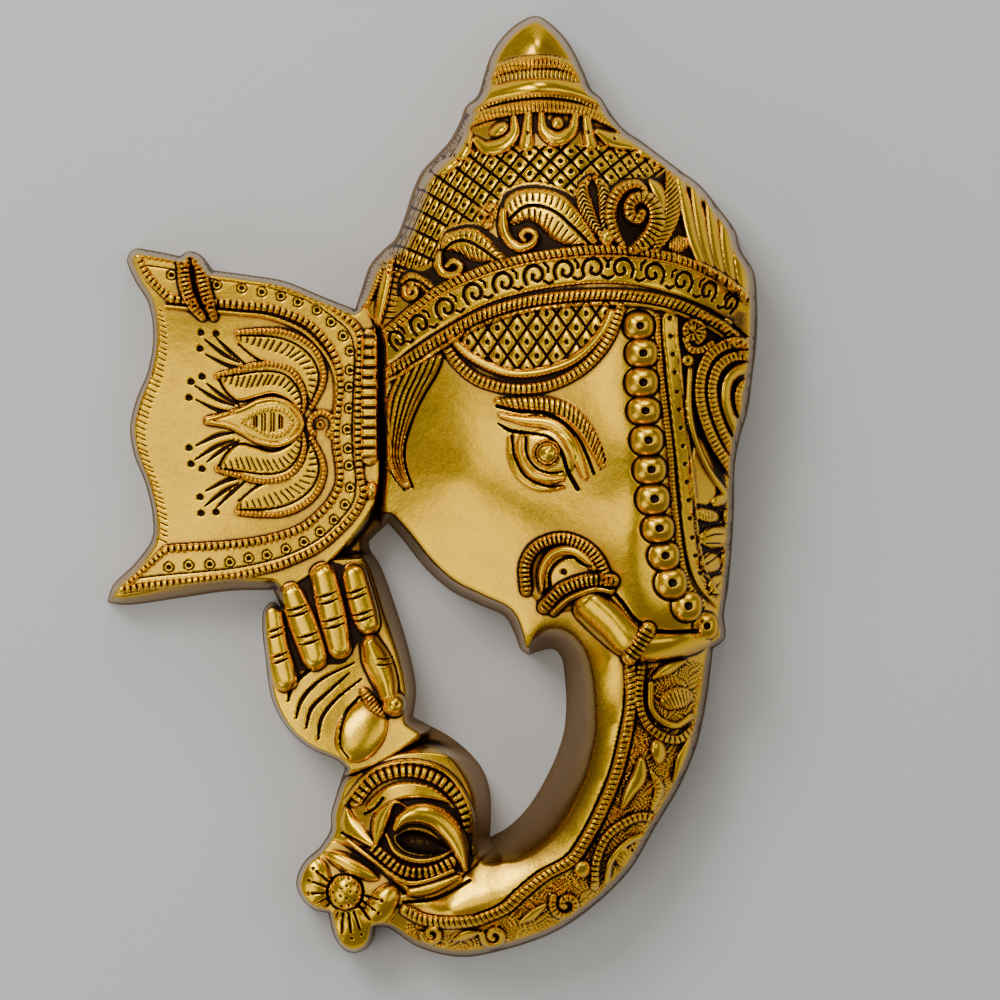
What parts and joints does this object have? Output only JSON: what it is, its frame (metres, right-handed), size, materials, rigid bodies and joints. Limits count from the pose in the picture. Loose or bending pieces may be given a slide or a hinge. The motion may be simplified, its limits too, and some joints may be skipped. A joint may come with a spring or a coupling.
{
  "type": "ganesha mask",
  "caption": "Hollow cast brass wall mask of an elephant-headed figure with a tall crown, one ear, a raised hand and a curled trunk.",
  "frame": {"origin": "middle of the mask's outline, on the plane of its flat back rim", "axes": "+X to the wearer's left as seen from the front, away from the ear; +Y towards the crown; +Z out of the face"},
  "size_m": [0.2458, 0.3564, 0.07],
  "materials": {
    "antique_brass": "polished on the high places, with dark lacquer left in the recesses and filed matt sides"
  },
  "bodies": {
    "root": {"ganesha_mask": "antique_brass"}
  },
  "joints": []
}
